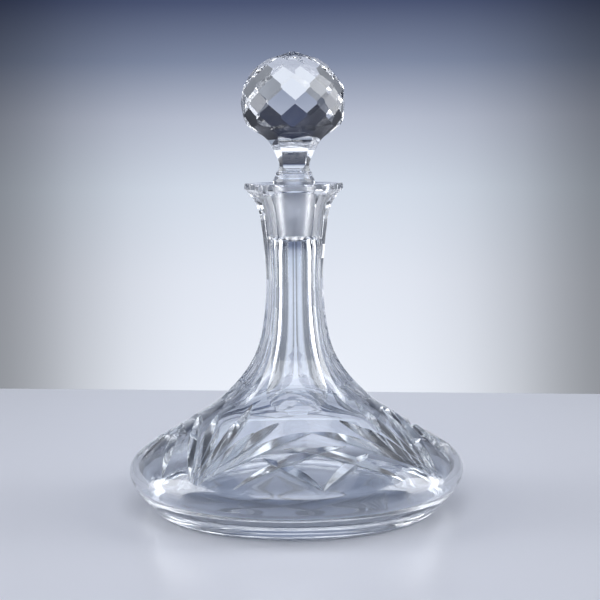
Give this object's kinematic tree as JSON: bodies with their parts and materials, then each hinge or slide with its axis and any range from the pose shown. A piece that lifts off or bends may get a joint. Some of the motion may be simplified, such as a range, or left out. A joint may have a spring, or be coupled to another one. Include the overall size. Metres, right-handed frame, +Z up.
{
  "type": "wine decanter",
  "caption": "Low, wide cut-glass decanter with a slender fluted neck, fan and diamond cuts on the shoulder and a lift-out faceted ball stopper.",
  "frame": {"origin": "middle of the foot, on the surface the decanter stands on", "axes": "+Z up along the neck, -Y towards the front, +X to the right seen from the front"},
  "size_m": [0.195, 0.195, 0.262],
  "materials": {
    "decanter_crystal": "clear lead crystal, fire polished, with polished wheel cuts",
    "stopper_crystal": "clear lead crystal, polished facets, ground plug"
  },
  "bodies": {
    "decanter": {"decanter_body": "decanter_crystal"},
    "stopper": {"stopper": "stopper_crystal"}
  },
  "joints": [
    {"name": "stopper_lift", "type": "slide", "parent": "decanter", "child": "stopper", "axis": [0, 0, 1], "range_m": [0, 0.1]}
  ]
}
